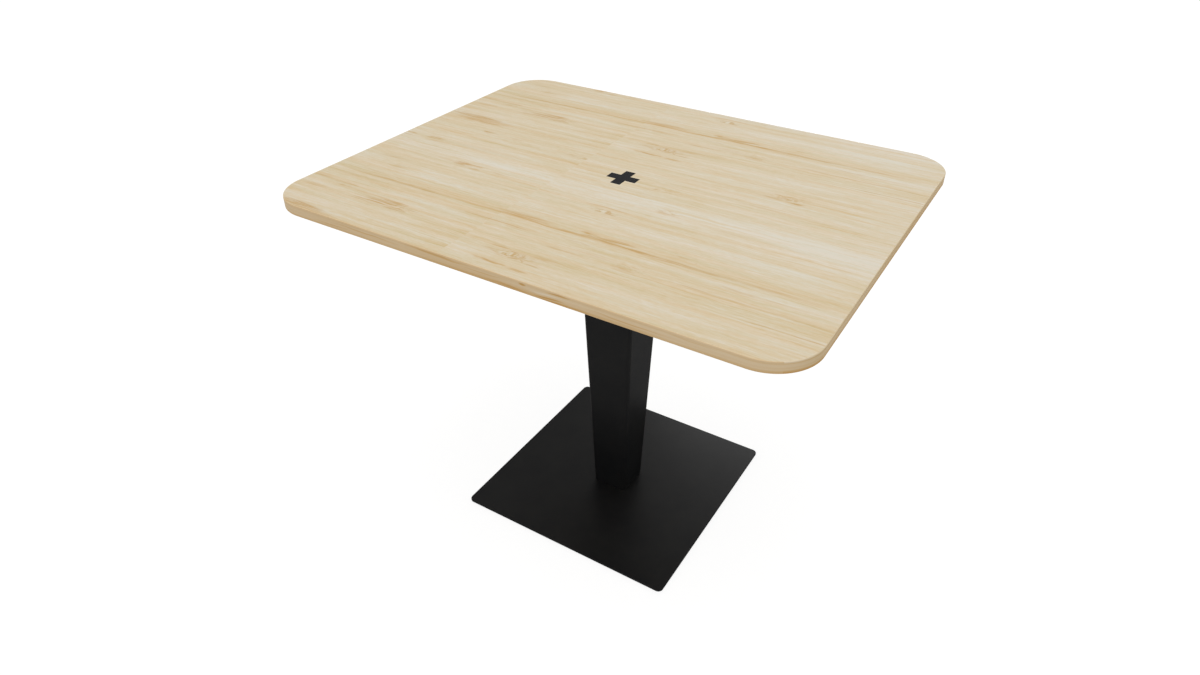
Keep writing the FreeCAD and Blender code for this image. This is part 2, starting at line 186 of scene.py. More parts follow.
def linear(red, green, blue):
    # Colour picker numbers, 0 to 255, to Blender's linear colour
    shares = [value / 255 for value in (red, green, blue)]
    return [s / 12.92 if s <= 0.04045 else ((s + 0.055) / 1.055) ** 2.4 for s in shares] + [1.0]


def grey(shade):
    return [shade] * 3 + [1.0]


def emptyTree(owner):
    # Node tree of a material or a world, cleared
    owner.use_nodes = True
    owner.node_tree.nodes.clear()
    return owner.node_tree


def newFinish(name):
    finish = bpy.data.materials.new(name)
    tree = emptyTree(finish)
    shader = tree.nodes.new("ShaderNodeBsdfPrincipled")
    output = tree.nodes.new("ShaderNodeOutputMaterial")
    tree.links.new(shader.outputs[0], output.inputs["Surface"])
    return finish, tree, shader


def feed(tree, value, socket):
    # A socket is linked, and a number or colour is set
    if isinstance(value, bpy.types.NodeSocket):
        tree.links.new(value, socket)
    else:
        socket.default_value = value


def fill(tree, node, values):
    # Feeds the inputs of a node, by name or in their order
    pairs = values.items() if isinstance(values, dict) else enumerate(values)
    for key, value in pairs:
        feed(tree, value, node.inputs[key])


def addNode(tree, kind, values, output=0, **options):
    # A new node's output
    node = tree.nodes.new(kind)
    for option, setting in options.items():
        setattr(node, option, setting)
    fill(tree, node, values)
    return node.outputs[output]


def calc(tree, operation, *values, clamp=False):
    return addNode(tree, "ShaderNodeMath", values, operation=operation, use_clamp=clamp)


def vectorCalc(tree, operation, *values):
    output = "Value" if operation == "LENGTH" else "Vector"
    return addNode(tree, "ShaderNodeVectorMath", values, output, operation=operation)


def place(tree):
    # The Object coordinates in metres, together and then one by one
    source = tree.nodes.new("ShaderNodeTexCoord").outputs["Object"]
    split = tree.nodes.new("ShaderNodeSeparateXYZ")
    tree.links.new(source, split.inputs[0])
    return source, *split.outputs


def join(tree, x, y, z):
    return addNode(tree, "ShaderNodeCombineXYZ", (x, y, z))


def noise(tree, vector, scale, detail, roughness):
    values = {"Vector": vector, "Scale": scale, "Detail": detail, "Roughness": roughness}
    return addNode(tree, "ShaderNodeTexNoise", values)


def ease(tree, value, low, high, outLow=0.0, outHigh=1.0):
    # Goes smoothly from outLow to outHigh while the value goes from low to high
    values = (value, low, high, outLow, outHigh)
    return addNode(tree, "ShaderNodeMapRange", values, interpolation_type="SMOOTHSTEP")


def spread(tree, value, stops):
    # Colour ramp from (position, linear colour) pairs
    node = tree.nodes.new("ShaderNodeValToRGB")
    feed(tree, value, node.inputs[0])
    elements = node.color_ramp.elements
    for _ in stops[2:]:
        elements.new(0.5)
    for element, (position, colour) in zip(elements, stops):
        element.position = position
        element.color = colour
    return node.outputs[0]


def mixColours(tree, share, first, second):
    node = tree.nodes.new("ShaderNodeMix")
    node.data_type = "RGBA"
    for name, value in (("Factor_Float", share), ("A_Color", first), ("B_Color", second)):
        feed(tree, value, next(socket for socket in node.inputs if socket.identifier == name))
    return next(socket for socket in node.outputs if socket.identifier == "Result_Color")


def bump(tree, height, strength, distance):
    # Normal of an uneven surface
    values = {"Strength": strength, "Distance": distance, "Height": height}
    return addNode(tree, "ShaderNodeBump", values)


def toneRamp(tree, tone, colour, tilt, paleTilt):
    # The colour, moved by its tilt for each step of tone
    low, high = toneSteps[0], toneSteps[-1]
    stops = []
    for step in toneSteps:
        reach = paleTilt if step > 0 else tilt
        stepColour = linear(*(part + step * share for part, share in zip(colour, reach)))
        stops.append(((step - low) / (high - low), stepColour))
    return spread(tree, calc(tree, "MULTIPLY_ADD", tone, 1 / (high - low), -low / (high - low)), stops)


def grain(tree, along, across, length, width, seed, detail=1.0, roughness=0.5):
    # Noise in streaks of about that length and width in mm
    vector = join(
        tree, calc(tree, "MULTIPLY", along, mmPerMetre / length),
        calc(tree, "MULTIPLY", across, mmPerMetre / width), seed)
    return noise(tree, vector, 1.0, detail, roughness)


def centred(tree, value):
    return calc(tree, "SUBTRACT", value, 0.5)


def softOval(tree, where, x, y, left, right, half):
    # 1 in its middle and 0 past its rim, with ends of their own lengths, all in mm
    x, y, left, right, half = (value / mmPerMetre for value in (x, y, left, right, half))
    rightPart = vectorCalc(
        tree, "MULTIPLY_ADD", where, (1 / right, 1 / half, 0), (-x / right, -y / half, 0))
    leftPart = vectorCalc(
        tree, "MULTIPLY_ADD", where, (-1 / left, -1 / half, 0), (x / left, y / half, 0))
    distance = vectorCalc(tree, "LENGTH", vectorCalc(tree, "MAXIMUM", rightPart, leftPart))
    return ease(tree, distance, ovalCore, 1.0, 1.0, 0.0)


def addOvals(tree, where, ovals, total):
    # Adds soft ovals to the total, each times the last number of its row
    for *oval, depth in ovals:
        total = calc(tree, "MULTIPLY_ADD", softOval(tree, where, *oval), depth, total)
    return total


# Camera at the photograph's viewpoint, fitted to the straight edges of the top and the base

cameraSettings = {
    "place": (0.7252, -1.2477, 1.3848),
    "tilt": 55.519,  # degrees up from straight down
    "turn": 31.844,
    "lens": 25.292,  # mm on a 36 mm sensor
    "sensor": 36.0,
}
bpy.ops.object.camera_add(
    location=cameraSettings["place"],
    rotation=(math.radians(cameraSettings["tilt"]), 0, math.radians(cameraSettings["turn"])))
camera = bpy.context.object
camera.data.lens = cameraSettings["lens"]
camera.data.sensor_width = cameraSettings["sensor"]
bpy.context.scene.camera = camera
bpy.context.scene.view_settings.view_transform = "Standard"
print("camera set")


# Wood of the board's faces

woodSettings = {
    "warm": (211.3, 193.6, 163.1),  # the two hues of the face, which run through each other
    "cool": (208.7, 194.4, 164.9),
    "warmTilt": (0.24, 0.48, 0.85),  # how far each colour moves for one step of tone
    "coolTilt": (0.30, 0.45, 0.85),
    "paleTilt": (0.18, 0.44, 0.90),  # the same above the middle tone
    "brown": (187, 149, 90),
    "brownShare": 0.85,  # how much of the brown the darkest stroke takes
    "paintedLightSlope": (5.0, 5.0),  # painted light: the face grows paler by this much tone for each metre along X and along Y
    "paintedLightTwist": 18.0,  # painted light too: and by this much for each square metre towards two opposite corners
    "seam": -0.103,  # m, where two lengths of veneer meet
    "seamShift": 3.7,  # m along the grain, which the veneer left of the seam skips
    "leftTone": -2.5,  # tone of the veneer left of the seam
    "longStreaks": 800,  # mm, layers of longer streaks run on across the seam
    "tileLow": -0.050,  # m, the veneer's pattern starts here and repeats
    "tileWidth": 0.500,
    "bandReach": 40,  # the broad bands' tones lie within this of the middle tone
    "waveReach": 0.006,  # m, the grain waves this far to and fro
    "knotWave": 0.030,  # and this much more in a knot
    "driftReach": 0.040,  # m, the figure is pulled this far along
    "threadTone": -15,
    "paleTone": 9,
    "speckMiddle": 0.53,  # the specks' noise is pale above this
    "speckFloor": -0.03,  # and not darker than this below it
    "knotRelief": 170.0,  # tone of the pale specks in a knot
    "knotBrown": 0.85,  # depth of its brown specks
    "specular": 0.18,
    "glossLayer": 3,  # layers of the grain that move the gloss and, together, the relief
    "reliefLayer": 5,
    "bump": (0.12, 0.0003),  # strength, and height in m
}

# Layers of grain: length and width in mm, seed, and reach in tone
woodLayers = (
    (1500, 95, 1.0, 50),
    (900, 34, 2.0, 38),
    (500, 13, 3.0, 44),
    (260, 6, 4.0, 34),
    (90, 4, 5.0, 40),
    (30, 2.4, 6.0, 38),
    (11, 1.9, 7.0, 34),
    (45, 0.8, 8.0, 20),
)
layerRoughness = 0.6

# Single noises along the grain: length and width in mm, seed, and where they differ from the
# plain grain, octaves and how rough
woodNoises = {
    "wave": (60, 13, 20.0),
    "drift": (26, 5, 21.0),
    "thread": (900, 15, 9.0),
    "threadShown": (260, 40, 10.0),
    "paleStreak": (500, 8, 11.0),
    "brownStreak": (60, 3.0, 12.0, 2.0, 0.6),
    "speck": (12, 3.4, 13.0, 2.0, 0.6),
    "hue": (240, 12, 14.0, 2.0, 0.6),
}

# What is made of them: low and high, and what comes out there where that isn't 0 and 1
woodEases = {
    "thread": (0.0, 0.035, 1.0, 0.0),
    "threadShown": (0.45, 0.65),
    "paleStreak": (0.60, 0.78),
    "brownStreak": (0.40, 0.60, 0.45, 1.40),
    "speck": (0.38, 0.50, 1.0, 0.0),
    "hue": (0.36, 0.64),
    "roughness": (noiseLow, noiseHigh, 0.60, 0.50),
}

# Broad bands across the grain: place in the pattern in mm, and tone
woodBands = (
    (0, 6), (12, 5), (30, 8), (50, 0), (60, -2), (82, 10), (94, 8), (110, -11), (130, 4), (150, -16),
    (170, -1), (190, 10), (210, 1), (230, 7), (250, -3), (270, 0), (290, 4), (312, 2), (318, -14),
    (323, -12), (330, -17), (340, -8), (350, 0), (372, 8), (390, 9), (410, 6), (430, 1), (450, 8),
    (465, 16), (488, 18),
)

# Soft paler and darker areas: middle along the board and in the pattern, then how far the area
# reaches to the left, to the right and to each side, all in mm, and its tone
woodAreas = (
    (-300, 425, 220, 160, 28, 15),
    (170, 425, 160, 170, 26, -10),
    (-400, 376, 110, 110, 26, -20),
    (-130, 395, 110, 110, 20, 8),
    (350, 430, 130, 110, 14, -6),
    (400, 375, 170, 110, 26, 14),
    (430, 364, 60, 60, 14, 6),
    (225, 350, 70, 70, 16, -7),
    (440, 310, 70, 60, 14, -9),
    (-230, 280, 170, 90, 26, 12),
    (-160, 268, 60, 50, 14, 10),
    (200, 268, 90, 80, 18, -9),
    (30, 262, 110, 90, 18, -6),
    (-380, 250, 120, 90, 16, -9),
    (430, 258, 90, 90, 3, 10),
    (400, 252, 120, 100, 18, 9),
    (-280, 208, 90, 80, 16, -7),
    (-130, 208, 150, 110, 12, -5),
    (100, 210, 60, 60, 14, -7),
    (-340, 190, 160, 190, 18, 7),
    (430, 190, 60, 60, 14, 7),
    (-200, 190, 60, 60, 12, 6),
    (60, 190, 110, 100, 12, -5),
    (0, 182, 90, 90, 24, -12),
    (-160, 170, 50, 50, 16, 9),
    (-310, 160, 60, 60, 18, -9),
    (385, 138, 100, 90, 20, 11),
    (-390, 130, 90, 90, 13, 8),
    (390, 108, 110, 80, 14, -8),
    (290, 90, 80, 60, 14, 9),
    (-200, 92, 60, 50, 12, 8),
    (-310, 92, 60, 60, 12, -6),
    (-70, 66, 70, 70, 26, -9),
    (270, 40, 130, 110, 20, 7),
    (-430, 22, 90, 110, 20, -8),
    (-400, 12, 110, 170, 12, -9),
    (410, 11, 90, 80, 11, -7),
    (60, 13, 160, 110, 14, 12),
    (-230, 478, 170, 130, 22, 14),
    (-30, 484, 110, 90, 15, 6),
    (170, 472, 110, 90, 18, -16),
    (290, 450, 130, 100, 16, -18),
    (300, 483, 180, 160, 16, -6),
    (-160, 452, 70, 60, 14, 6),
)

# Brown strokes: darkest place along the board and in the pattern, then how far the stroke reaches
# to the left, to the right and to each side, all in mm, and its depth from 0 to 1
woodStrokes = (
    (-270, 251, 60, 20, 6, 0.60),
    (-290, 244, 90, 45, 4.5, 0.65),
    (-258, 231, 45, 18, 5.5, 0.75),
    (-318, 235, 60, 35, 4, 0.60),
    (-330, 229, 95, 90, 3, 0.35),
    (-340, 254, 110, 70, 3, 0.35),
    (-300, 241, 90, 50, 15, 0.30),
    (-240, 243, 30, 24, 3, 0.40),
    (-430, 163, 90, 90, 8, 0.75),
    (-390, 144, 100, 55, 7, 0.75),
    (-400, 154, 120, 100, 19, 0.50),
    (-60, 328, 75, 80, 11, 0.55),
    (-75, 320, 70, 90, 5, 0.60),
    (62, 331, 14, 12, 4, 0.50),
    (130, 330, 46, 34, 5, 0.90),
    (92, 324, 42, 46, 7, 0.80),
    (70, 333, 26, 24, 4, 0.55),
    (112, 319, 30, 30, 5, 0.50),
    (160, 318, 22, 24, 4, 0.75),
    (30, 318, 170, 170, 4, 0.50),
    (210, 318, 330, 330, 6, 0.60),
    (-330, 318, 170, 150, 5, 0.65),
    (-180, 319, 120, 120, 5, 0.30),
    (-420, 334, 50, 60, 4, 0.25),
    (-354, 333, 24, 24, 3, 0.25),
    (-80, 288, 130, 110, 2.5, 0.65),
    (60, 260, 60, 70, 3, 0.50),
    (285, 266, 45, 45, 4, 0.45),
    (60, 296, 60, 60, 3, 0.30),
    (480, 227, 150, 60, 2.5, 0.65),
    (440, 263, 220, 100, 3.5, 0.35),
    (370, 291, 80, 110, 4, 0.35),
    (170, 259, 30, 25, 8, 0.35),
    (120, 272, 80, 40, 9, 0.22),
    (-400, 266, 110, 30, 6, 0.38),
    (-480, 268, 30, 40, 5, 0.45),
    (-410, 256, 30, 25, 3, 0.45),
    (-450, 232, 60, 30, 6, 0.38),
    (-420, 300, 80, 80, 8, 0.20),
    (0, 208, 66, 90, 18, 0.24),
    (-10, 174, 50, 24, 5, 0.80),
    (35, 171, 20, 24, 5, 0.60),
    (0, 214, 18, 16, 3, 0.80),
    (9, 200, 12, 12, 3.5, 0.85),
    (26, 198, 5, 6, 5, 1.0),
    (48, 195, 26, 18, 3, 0.60),
    (-30, 222, 26, 24, 4, 0.45),
    (-38, 207, 26, 20, 5, 0.45),
    (60, 222, 40, 60, 9, 0.28),
    (-352, 101, 20, 24, 7, 0.75),
    (-280, 98, 18, 20, 7, 0.28),
    (-112, 88, 12, 10, 7, 0.45),
    (-138, 90, 16, 14, 6, 0.28),
    (-484, 19, 24, 20, 5, 0.90),
    (-485, 7, 30, 30, 3.5, 0.45),
    (-428, 20, 22, 50, 7, 0.65),
    (-415, 6, 30, 40, 4, 0.35),
    (-290, 445, 30, 22, 13, 0.70),
    (-258, 449, 60, 20, 5, 0.65),
    (-330, 448, 40, 30, 4, 0.35),
    (-255, 436, 30, 25, 5, 0.40),
    (-200, 443, 20, 20, 7, 0.25),
    (-415, 402, 60, 40, 8, 0.25),
    (-385, 372, 30, 20, 12, 0.22),
    (-368, 360, 50, 8, 4, 0.22),
    (265, 115, 30, 40, 8, 0.50),
    (312, 111, 28, 20, 5, 0.75),
    (285, 132, 40, 50, 4, 0.60),
    (300, 122, 14, 12, 3, 0.70),
    (72, 38, 9, 8, 5, 0.60),
    (66, 29, 25, 24, 3, 0.25),
    (135, 460, 34, 26, 5, 0.50),
    (130, 474, 16, 14, 3, 0.25),
    (45, 426, 60, 60, 4, 0.50),
    (40, 416, 30, 24, 3, 0.40),
    (60, 410, 18, 16, 5, 0.55),
    (265, 450, 50, 40, 3, 0.42),
    (370, 451, 70, 50, 2.5, 0.28),
    (455, 430, 34, 30, 2.5, 0.42),
    (230, 339, 14, 14, 5, 0.35),
    (258, 333, 4, 5, 3, 0.45),
    (200, 66, 190, 320, 5, 0.16),
    (60, 8, 130, 120, 6, 0.12),
    (-300, 20, 120, 150, 13, 0.14),
)

# Small knots, where the grain swirls: the same numbers as for a stroke
woodKnots = (
    (5, 208, 46, 46, 15, 1.0),
    (293, 126, 44, 44, 13, 0.9),
    (177, 270, 40, 40, 16, 0.4),
    (140, 466, 34, 34, 11, 0.6),
    (44, 412, 36, 36, 12, 0.9),
    (95, 40, 44, 44, 12, 0.5),
    (-260, 240, 34, 34, 14, 0.5),
)


def woodGrid(tree, s):
    # What every part of the face's figure starts from
    _, x, y, _ = place(tree)
    low = s["tileLow"]
    across = calc(tree, "SUBTRACT", calc(tree, "WRAP", y, low + s["tileWidth"], low), low)
    leftOfSeam = calc(tree, "LESS_THAN", x, s["seam"])
    shifted = calc(tree, "MULTIPLY_ADD", leftOfSeam, s["seamShift"], x)
    knots = addOvals(tree, join(tree, x, across, 0.0), woodKnots, 0.0)

    # The grain waves a little everywhere, and swirls at the knots
    wave = centred(tree, grain(tree, x, across, *woodNoises["wave"]))
    bend = calc(tree, "MULTIPLY_ADD", knots, s["knotWave"], s["waveReach"])
    bent = calc(tree, "MULTIPLY_ADD", wave, bend, across)
    drift = centred(tree, grain(tree, x, across, *woodNoises["drift"]))
    slid = calc(tree, "MULTIPLY_ADD", drift, s["driftReach"], x)
    where = join(tree, slid, bent, 0.0)
    return x, y, leftOfSeam, shifted, bent, where, knots


def shapedNoise(tree, along, across, name):
    return ease(tree, grain(tree, along, across, *woodNoises[name]), *woodEases[name])


def woodTone(tree, s, grid):
    # Tone of the face, and the layers of its grain
    x, y, leftOfSeam, shifted, bent, where, _ = grid
    reach = s["bandReach"]
    stops = [
        (at / mmPerMetre / s["tileWidth"], grey((step + reach) / (2 * reach)))
        for at, step in woodBands]
    bands = spread(tree, calc(tree, "DIVIDE", bent, s["tileWidth"]), stops)
    tone = calc(tree, "MULTIPLY_ADD", bands, 2 * reach, -reach)
    layers = []
    for length, width, seed, reach in woodLayers:
        along = x if length > s["longStreaks"] else shifted
        layers.append(grain(tree, along, bent, length, width, seed, roughness=layerRoughness))
        tone = calc(tree, "MULTIPLY_ADD", centred(tree, layers[-1]), reach, tone)

    # Thin brown threads run where a slow noise passes its middle
    fromMiddle = calc(tree, "ABSOLUTE", centred(tree, grain(tree, shifted, bent, *woodNoises["thread"])))
    thread = ease(tree, fromMiddle, *woodEases["thread"])
    thread = calc(tree, "MULTIPLY", thread, shapedNoise(tree, shifted, bent, "threadShown"))
    tone = calc(tree, "MULTIPLY_ADD", thread, s["threadTone"], tone)
    pale = shapedNoise(tree, shifted, bent, "paleStreak")
    tone = calc(tree, "MULTIPLY_ADD", pale, s["paleTone"], tone)
    tone = calc(tree, "MULTIPLY_ADD", leftOfSeam, s["leftTone"], tone)
    # Painted light: the face is made paler towards the back right and towards two opposite corners, as
    # the light falls across the top
    for direction, paintedLightSlope in zip((x, y), s["paintedLightSlope"]):
        tone = calc(tree, "MULTIPLY_ADD", direction, paintedLightSlope, tone)
    tone = calc(tree, "MULTIPLY_ADD", calc(tree, "MULTIPLY", x, y), s["paintedLightTwist"], tone)
    return addOvals(tree, where, woodAreas, tone), layers


def makeWoodFace(s):
    finish, tree, shader = newFinish("paleWoodFace")
    grid = woodGrid(tree, s)
    x, _, _, shifted, bent, where, knots = grid
    tone, layers = woodTone(tree, s, grid)
    specks = grain(tree, x, bent, *woodNoises["speck"])
    relief = calc(tree, "MAXIMUM", calc(tree, "SUBTRACT", specks, s["speckMiddle"]), s["speckFloor"])
    tone = calc(tree, "MULTIPLY_ADD", calc(tree, "MULTIPLY", relief, knots), s["knotRelief"], tone)

    # The brown of the strokes breaks up into streaks, and that of the knots into specks
    strokes = addOvals(tree, where, woodStrokes, 0.0)
    strokes = calc(tree, "MULTIPLY", strokes, shapedNoise(tree, x, bent, "brownStreak"))
    dark = calc(tree, "MULTIPLY", ease(tree, specks, *woodEases["speck"]), knots)
    brown = calc(tree, "MINIMUM", calc(tree, "MULTIPLY_ADD", dark, s["knotBrown"], strokes), 1.0)

    colour = mixColours(
        tree, shapedNoise(tree, shifted, bent, "hue"),
        toneRamp(tree, tone, s["warm"], s["warmTilt"], s["paleTilt"]),
        toneRamp(tree, tone, s["cool"], s["coolTilt"], s["paleTilt"]))
    brownShare = calc(tree, "MULTIPLY", brown, s["brownShare"])
    height = calc(tree, "ADD", layers[s["glossLayer"]], layers[s["reliefLayer"]])
    fill(tree, shader, {
        "Base Color": mixColours(tree, brownShare, colour, linear(*s["brown"])),
        "Roughness": ease(tree, layers[s["glossLayer"]], *woodEases["roughness"]),
        "Specular IOR Level": s["specular"],
        "Normal": bump(tree, height, *s["bump"]),
    })
    return finish


# The board's edge: the same wood, a little deeper, with lines that run round the board, painted shade
# along its foot and painted light on its upper rounding

edgeSettings = {
    "front": (223, 198, 160),
    "sides": (207, 180, 136),
    "tilt": (0.25, 0.50, 0.82),  # how far each colour moves for one step of tone
    "frontEnd": -0.385,  # m along Y, the marks of the front edge lie before this
    "turnToFront": (-0.400, -0.330),  # m along Y, the two colours turn into each other between these
    "foot": (0.0018, 0.0075),  # m above the underside, the painted shade along the foot fades out between these
    "footTones": (-56, -30),  # tones of that painted shade, at the sides and on the front
    "paintedLightRim": (-0.0035, -0.0008),  # m from the upper face, the painted light on the upper rounding fades in between these
    # Painted highlight on the upper rounding at the sides, and painted shade on it at the front
    "paintedLightRimTones": (34, -12),
    "layers": (
        # length along the edge and height in mm, seed, and reach in tone
        (700, 5, 31.0, 34),
        (220, 2.4, 32.0, 26),
        (60, 1.6, 33.0, 14),
        (260, 300, 34.0, 40),
    ),
    "lines": (
        # m above the underside, half width in m, and tone
        (0.0165, 0.0016, -14),
        (0.0085, 0.0010, -9),
        (0.0120, 0.0014, 8),
    ),
    "patch": (0, -400, 180, 160, 60),  # mm, a deeper stretch in the middle of the front
    "patchFade": (0.004, 0.013, 1.0, 0.3),  # m above the underside, and strength there
    "patchTone": -24,
    "wave": (110, 400, 35.0, 2.0, 0.5),  # mm, seed, octaves and how rough
    "waveReach": 0.012,  # m
    "marks": (
        # at X, height above the board's underside, reach left, reach right, half width in mm, depth
        (63, 16.5, 8, 9, 2.6, -95),
        (128, 15.5, 28, 28, 2.0, -75),
        (112, 6, 36, 32, 1.8, -80),
        (125, 1.5, 60, 80, 2.4, -50),
        (98, 11, 30, 44, 2.2, 30),
        (40, 5, 60, 40, 2.6, -30),
        (-100, 16.0, 90, 80, 3.0, -44),
        (-10, 12, 70, 60, 1.6, -36),
        (-250, 12, 120, 90, 1.6, -40),
        (-330, 7, 60, 60, 1.6, -34),
        (235, 9, 70, 90, 1.6, -34),
        (340, 14, 50, 60, 1.6, -28),
    ),
    "roughness": (0.62, 0.55),
    "specular": 0.2,
    "bump": (0.10, 0.0003),  # strength, and height in m
}


def makeWoodEdge(s):
    finish, tree, shader = newFinish("paleWoodEdge")
    _, x, y, z = place(tree)
    along = calc(tree, "ADD", x, y)
    low, high = (corner.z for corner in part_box("table_top"))
    onFront = calc(tree, "LESS_THAN", y, s["frontEnd"])
    # Painted shade along the foot of the edge
    foot = ease(tree, z, *(low + level for level in s["foot"]), 1.0, 0.0)
    # Painted light on the upper rounding of the edge
    paintedLightRim = ease(tree, z, *(high + level for level in s["paintedLightRim"]))
    tone = 0.0
    for share, (sides, front) in ((foot, s["footTones"]), (paintedLightRim, s["paintedLightRimTones"])):
        reach = calc(tree, "MULTIPLY_ADD", onFront, front - sides, sides)
        tone = calc(tree, "MULTIPLY_ADD", share, reach, tone)
    for length, height, seed, reach in s["layers"]:
        layer = grain(tree, along, z, length, height, seed, roughness=layerRoughness)
        tone = calc(tree, "MULTIPLY_ADD", centred(tree, layer), reach, tone)
    for level, half, depth in s["lines"]:
        distance = calc(tree, "ABSOLUTE", calc(tree, "SUBTRACT", z, low + level))
        tone = calc(tree, "MULTIPLY_ADD", ease(tree, distance, 0.0, half, 1.0, 0.0), depth, tone)

    fadeLow, fadeHigh, *strengths = s["patchFade"]
    patch = calc(
        tree, "MULTIPLY", softOval(tree, join(tree, x, y, 0.0), *s["patch"]),
        ease(tree, z, low + fadeLow, low + fadeHigh, *strengths))
    tone = calc(tree, "MULTIPLY_ADD", patch, s["patchTone"], tone)
    wave = centred(tree, grain(tree, x, y, *s["wave"]))
    waved = join(tree, x, calc(tree, "MULTIPLY_ADD", wave, s["waveReach"], z), 0.0)
    marks = [(at, low * mmPerMetre + rise, *rest) for at, rise, *rest in s["marks"]]
    tone = calc(tree, "MULTIPLY_ADD", addOvals(tree, waved, marks, 0.0), onFront, tone)

    sideColour, frontColour = (
        toneRamp(tree, tone, s[band], s["tilt"], s["tilt"]) for band in ("sides", "front"))
    turn = ease(tree, y, *s["turnToFront"], 1.0, 0.0)
    fill(tree, shader, {
        "Base Color": mixColours(tree, turn, sideColour, frontColour),
        "Roughness": ease(tree, layer, noiseLow, noiseHigh, *s["roughness"]),
        "Specular IOR Level": s["specular"],
        "Normal": bump(tree, layer, *s["bump"]),
    })
    return finish


# Other finishes

powderSettings = {
    "dark": (22, 22, 23),
    "light": (27, 27, 27),
    "cloud": (14, 3.0, 0.5),  # scale, octaves and how rough
    "peel": (900, 3.0, 0.55),
    "roughness": (0.50, 0.60),
    "specular": 0.0,
    "coat": 0.195,
    "coatRoughness": 0.36,
    "coatIor": 1.5,
    "bump": (0.25, 0.00015),  # strength, and height in m
}


def cloudedColour(tree, cloud, dark, light):
    return spread(tree, cloud, [(noiseLow, linear(*dark)), (noiseHigh, linear(*light))])


def makePowderCoat(s):
    # Nearly black paint under a satin binder, with the fine orange peel of powder coating
    finish, tree, shader = newFinish("blackPowderCoat")
    spot = place(tree)[0]
    cloud = noise(tree, spot, *s["cloud"])
    fill(tree, shader, {
        "Base Color": cloudedColour(tree, cloud, s["dark"], s["light"]),
        "Roughness": ease(tree, cloud, noiseLow, noiseHigh, *s["roughness"]),
        "Specular IOR Level": s["specular"],
        "Coat Weight": s["coat"],
        "Coat Roughness": s["coatRoughness"],
        "Coat IOR": s["coatIor"],
        "Normal": bump(tree, noise(tree, spot, *s["peel"]), *s["bump"]),
    })
    return finish


# Moulded, plated and cast finishes: name, dark and light colour, roughness, scale and strength of
# the unevenness, and where they aren't 0 and 0.5, how metallic and the specular level
plainFinishes = {
    "black_inlay": ("blackInlay", (29, 29, 30), (34, 34, 36), (0.55, 0.66), 1400, 0.2, 0.0, 0.05),
    "zinc_plated_steel": (
        "zincPlatedSteel", (176, 179, 182), (202, 204, 205), (0.28, 0.42), 1600, 0.15, 1.0),
    "brass_inserts": (
        "brassInserts", (186, 146, 74), (212, 172, 98), (0.26, 0.38), 1500, 0.2, 1.0),
    "pad_rubber": ("padRubber", (24, 24, 25), (32, 32, 33), (0.70, 0.85), 1100, 0.35),
    "black_plastic": ("blackPlastic", (22, 22, 24), (29, 29, 31), (0.45, 0.60), 1800, 0.35),
    "clip_plastic": ("clipPlastic", (214, 212, 204), (228, 226, 218), (0.38, 0.50), 900, 0.2),
    "ferrite": ("ferriteSheet", (46, 46, 49), (60, 60, 63), (0.60, 0.75), 1300, 0.5),
    "component_black": ("componentBlack", (18, 18, 18), (26, 26, 26), (0.55, 0.68), 2200, 0.3),
    "lead_sheath": ("leadSheath", (20, 20, 21), (28, 28, 29), (0.42, 0.55), 1000, 0.25),
    "nickel_plated_brass": (
        "nickelPlatedBrass", (190, 186, 174), (210, 206, 196), (0.22, 0.34), 1600, 0.12, 1.0),
}
plainSettings = {
    "cloudShare": 1 / 12,  # scale of the drift in tone, as a share of that of the unevenness
    "cloud": (3.0, 0.5),  # octaves and how rough
    "tooth": (3.0, 0.6),
    "bumpHeight": 0.0001,  # m
}


def makePlain(name, dark, light, roughness, scale, strength, metallic=0.0, specular=0.5):
    # The tone and the gloss drift, and the surface is slightly uneven
    finish, tree, shader = newFinish(name)
    spot = place(tree)[0]
    cloud = noise(tree, spot, scale * plainSettings["cloudShare"], *plainSettings["cloud"])
    tooth = noise(tree, spot, scale, *plainSettings["tooth"])
    fill(tree, shader, {
        "Base Color": cloudedColour(tree, cloud, dark, light),
        "Roughness": ease(tree, tooth, noiseLow, noiseHigh, *roughness),
        "Metallic": metallic,
        "Specular IOR Level": specular,
        "Normal": bump(tree, tooth, strength, plainSettings["bumpHeight"]),
    })
    return finish


coilSettings = {
    "pitch": 0.0008,  # m from turn to turn
    # Painted shade in the grooves between the turns
    "shadedGroove": (120, 62, 32),
    "wire": (214, 138, 84),
    "roughness": (0.45, 0.28),
    "bump": (0.6, 0.0003),  # strength, and height in m
}


def makeCoil(s):
    # Rings of enamelled copper wire, with painted shade in the grooves between the turns
    finish, tree, shader = newFinish("coilCopper")
    _, x, y, _ = place(tree)
    squares = [calc(tree, "MULTIPLY", part, part) for part in (x, y)]
    radius = calc(tree, "SQRT", calc(tree, "ADD", *squares))
    turns = calc(tree, "SINE", calc(tree, "MULTIPLY", radius, 2 * math.pi / s["pitch"]))
    onWire = calc(tree, "MULTIPLY_ADD", turns, 0.5, 0.5)
    fill(tree, shader, {
        "Base Color": spread(tree, onWire, [(0.0, linear(*s["shadedGroove"])), (1.0, linear(*s["wire"]))]),
        "Roughness": ease(tree, onWire, 0.0, 1.0, *s["roughness"]),
        "Metallic": 1.0,
        "Normal": bump(tree, onWire, *s["bump"]),
    })
    return finish


circuitSettings = {
    "scale": 240,  # about that many fields to the metre
    "fieldEdge": (0.45, 0.55),
    "field": (18, 86, 52),
    "track": (34, 122, 74),
    "roughness": (0.42, 0.30),
    "bump": (0.4, 0.00008),  # strength, and height in m
}


